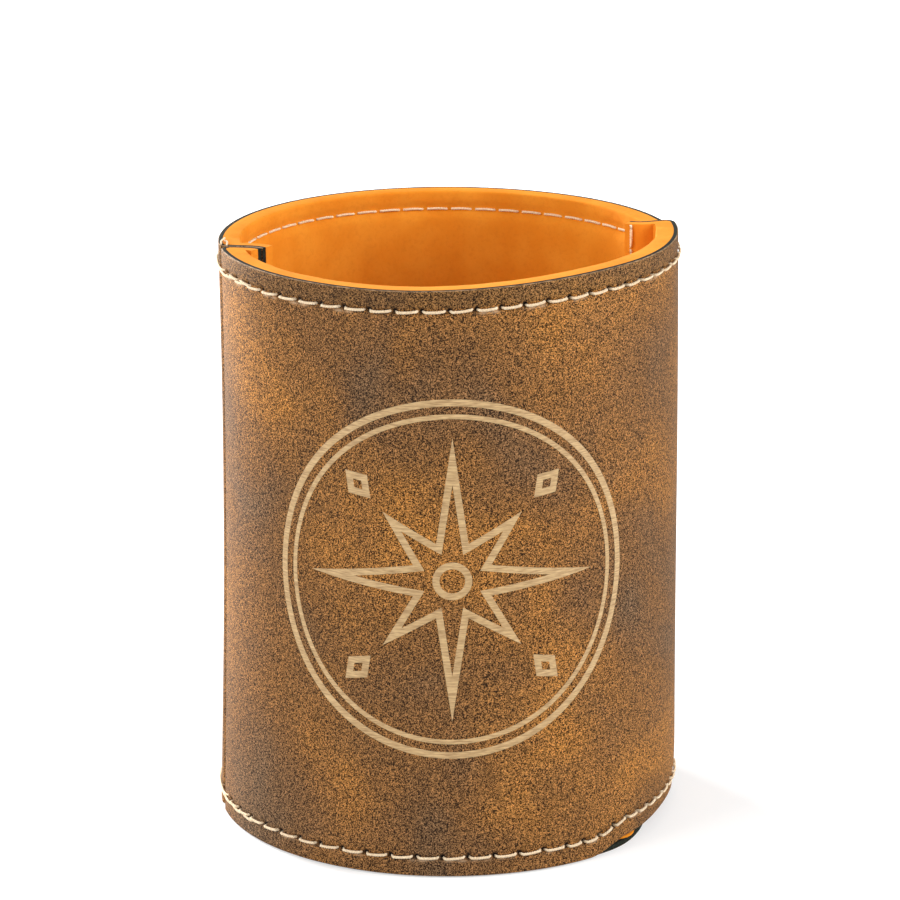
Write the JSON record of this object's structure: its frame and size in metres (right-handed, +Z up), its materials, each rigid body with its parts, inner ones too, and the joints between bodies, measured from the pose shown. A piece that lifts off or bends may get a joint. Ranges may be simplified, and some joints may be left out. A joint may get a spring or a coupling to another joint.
{
  "type": "can cooler sleeve",
  "caption": "Open-topped round sleeve of leatherette lined with foam, on a flat base, with seams at the sides, stitched rims and an engraved front; it slips over a drink can.",
  "frame": {"origin": "under the middle of the base, on the surface that it stands on", "axes": "+Z up the sleeve to its open mouth, -Y out of the engraved front panel, +X to the right side seam"},
  "size_m": [0.0761, 0.0766, 0.0976],
  "materials": {
    "leatherette": "mottled brown, fine grain, matte, with a dark cut edge",
    "foam": "matte orange foam",
    "thread": "twisted cream thread",
    "engraving": "matte light tan, laser engraved"
  },
  "bodies": {
    "root": {"front_cover": "leatherette", "back_cover": "leatherette", "base_cover": "leatherette", "front_lining": "foam", "back_lining": "foam", "base_lining": "foam", "front_top_thread": "thread", "front_top_bobbin": "thread", "front_bottom_thread": "thread", "front_bottom_bobbin": "thread", "back_top_thread": "thread", "back_top_bobbin": "thread", "back_bottom_thread": "thread", "back_bottom_bobbin": "thread", "left_seam_thread": "thread", "right_seam_thread": "thread", "emblem_ring": "engraving", "emblem_inner_ring": "engraving", "emblem_star": "engraving", "emblem_hub": "engraving", "emblem_diamond_1": "engraving", "emblem_diamond_2": "engraving", "emblem_diamond_3": "engraving", "emblem_diamond_4": "engraving"}
  },
  "joints": []
}
